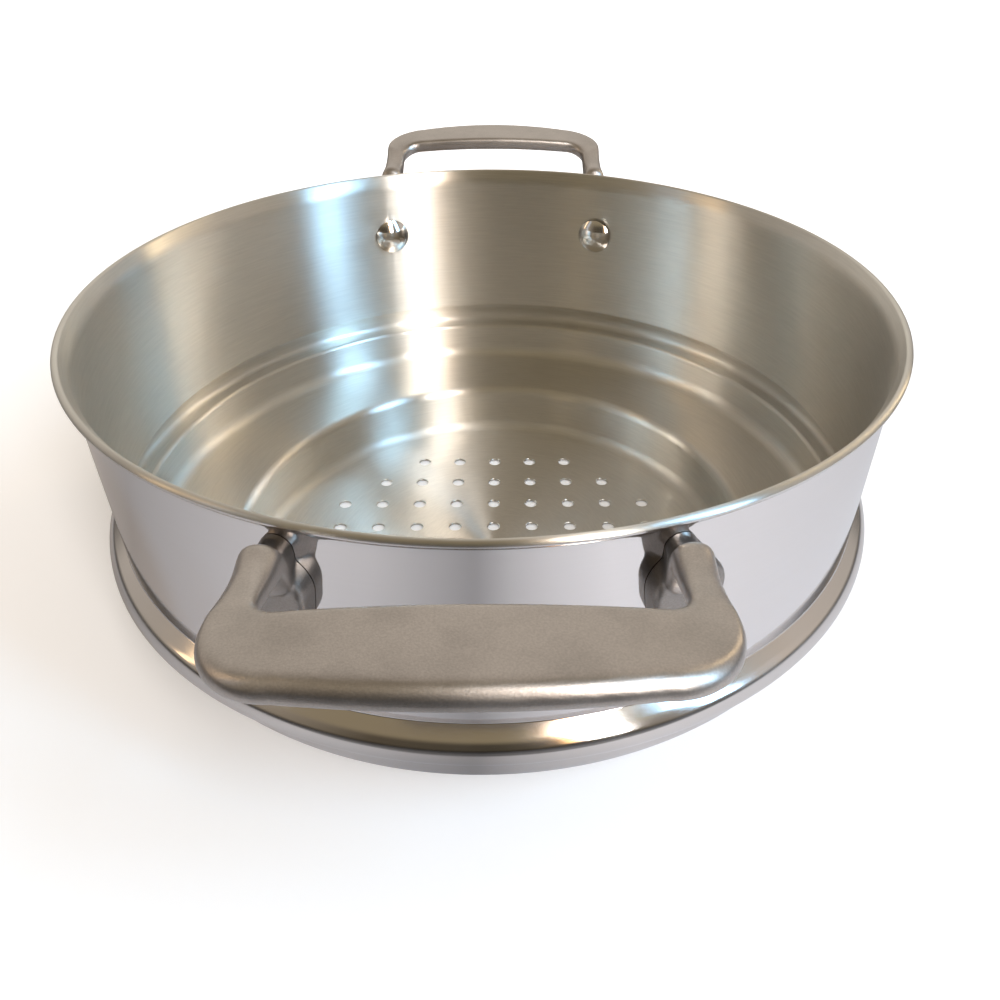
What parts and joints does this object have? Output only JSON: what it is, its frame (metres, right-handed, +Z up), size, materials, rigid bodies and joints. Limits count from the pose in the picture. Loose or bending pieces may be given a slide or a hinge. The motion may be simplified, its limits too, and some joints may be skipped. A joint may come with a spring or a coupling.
{
  "type": "steamer basket",
  "caption": "Stepped stainless steamer basket with a perforated floor, a flange bead that seats on a pan's rim and cast loop handles riveted to its wall.",
  "frame": {"origin": "centre of the underside of the perforated floor, on the basket's axis", "axes": "+Z up along the basket's axis, towards the rim; the handles lie along Y, the front one at -Y; +X to the right seen from the front"},
  "size_m": [0.209, 0.2802, 0.0948],
  "materials": {
    "basket_body": "polished outside, brushed inside",
    "front_handle": "matte cast",
    "back_handle": "matte cast",
    "rivet_front_left": "polished",
    "rivet_front_right": "polished",
    "rivet_back_left": "polished",
    "rivet_back_right": "polished"
  },
  "bodies": {
    "root": {"basket_body": "basket_body", "front_handle": "front_handle", "back_handle": "back_handle", "rivet_front_left": "rivet_front_left", "rivet_front_right": "rivet_front_right", "rivet_back_left": "rivet_back_left", "rivet_back_right": "rivet_back_right"}
  },
  "joints": []
}
